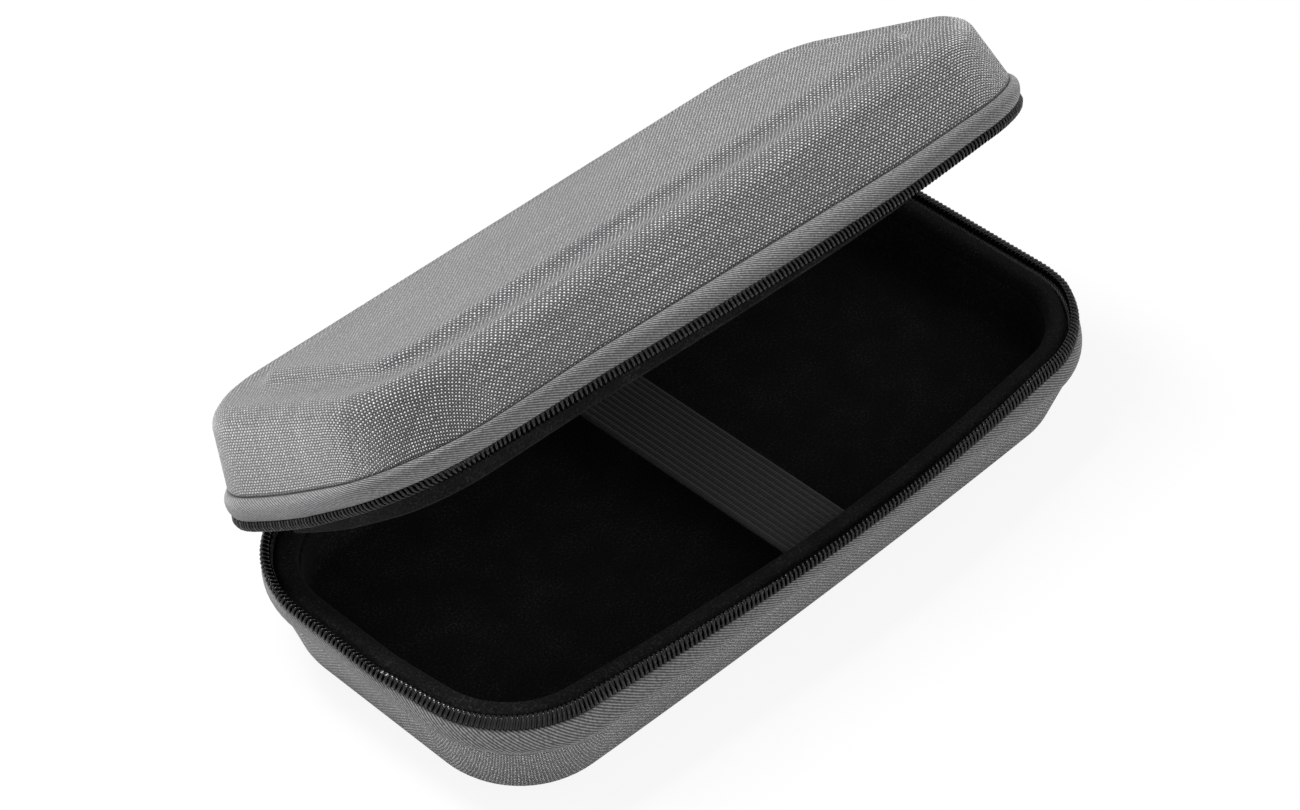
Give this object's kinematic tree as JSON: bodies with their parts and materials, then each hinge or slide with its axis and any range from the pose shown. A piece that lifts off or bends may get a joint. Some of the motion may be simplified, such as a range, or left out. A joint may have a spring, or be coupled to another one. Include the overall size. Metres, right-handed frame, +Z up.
{
  "type": "portable game console case",
  "caption": "Hard zipped clamshell case for a handheld game console: cloth-covered shells on a cloth hinge, a padded bed with an elastic strap, a mesh pocket and zip sliders.",
  "frame": {"origin": "centre of the tray's flat base, on the surface the case lies on", "axes": "+X along the case to the right as seen from the opening side, +Y towards the hinge, +Z up"},
  "size_m": [0.2672, 0.1632, 0.1285],
  "materials": {
    "cover_cloth": "woven mid-grey polyester",
    "tape_cloth": "grey herringbone zip tape",
    "zip_nylon": "black nylon",
    "velour": "short black pile",
    "elastic": "black ribbed elastic",
    "mesh": "black knitted net",
    "slider_metal": "black enamel",
    "pull_rubber": "matt moulded rubber"
  },
  "bodies": {
    "tray": {"tray_shell": "cover_cloth", "tray_bed": "velour", "tray_rim_binding": "velour", "tray_zip_tape": "tape_cloth", "tray_zip_coil": "zip_nylon", "elastic_strap": "elastic", "hinge_strip": "tape_cloth"},
    "lid": {"lid_shell": "cover_cloth", "lid_lining": "velour", "lid_rim_binding": "velour", "lid_zip_tape": "tape_cloth", "lid_zip_coil": "zip_nylon", "lid_pocket_mesh": "mesh", "lid_pocket_hem": "elastic", "hinge_lining": "velour", "zip_stop_right": "zip_nylon", "zip_stop_left": "zip_nylon"},
    "slider_right": {"zip_slider_right": "slider_metal"},
    "slider_left": {"zip_slider_left": "slider_metal"},
    "pull_right": {"zip_pull_right": "pull_rubber"},
    "pull_left": {"zip_pull_left": "pull_rubber"}
  },
  "joints": [
    {"name": "lid_hinge", "type": "hinge", "parent": "tray", "child": "lid", "pos_m": [0, 0.06342, 0.024], "axis": [-1, 0, 0], "range_deg": [-35.5, 90], "deforming": ["hinge_strip"]},
    {"name": "slider_right_slide", "type": "slide", "parent": "lid", "child": "slider_right", "axis": [1, 0, 0], "range_m": [0, 0.008]},
    {"name": "slider_left_slide", "type": "slide", "parent": "lid", "child": "slider_left", "axis": [-1, 0, 0], "range_m": [0, 0.008]},
    {"name": "pull_right_swing", "type": "hinge", "parent": "slider_right", "child": "pull_right", "pos_m": [0.0795, 0.07368, 0.03081], "axis": [0, 0.5807, 0.8141], "range_deg": [-88, 88]},
    {"name": "pull_left_swing", "type": "hinge", "parent": "slider_left", "child": "pull_left", "pos_m": [-0.0795, 0.07368, 0.03081], "axis": [0, -0.5807, -0.8141], "range_deg": [-88, 88]}
  ]
}
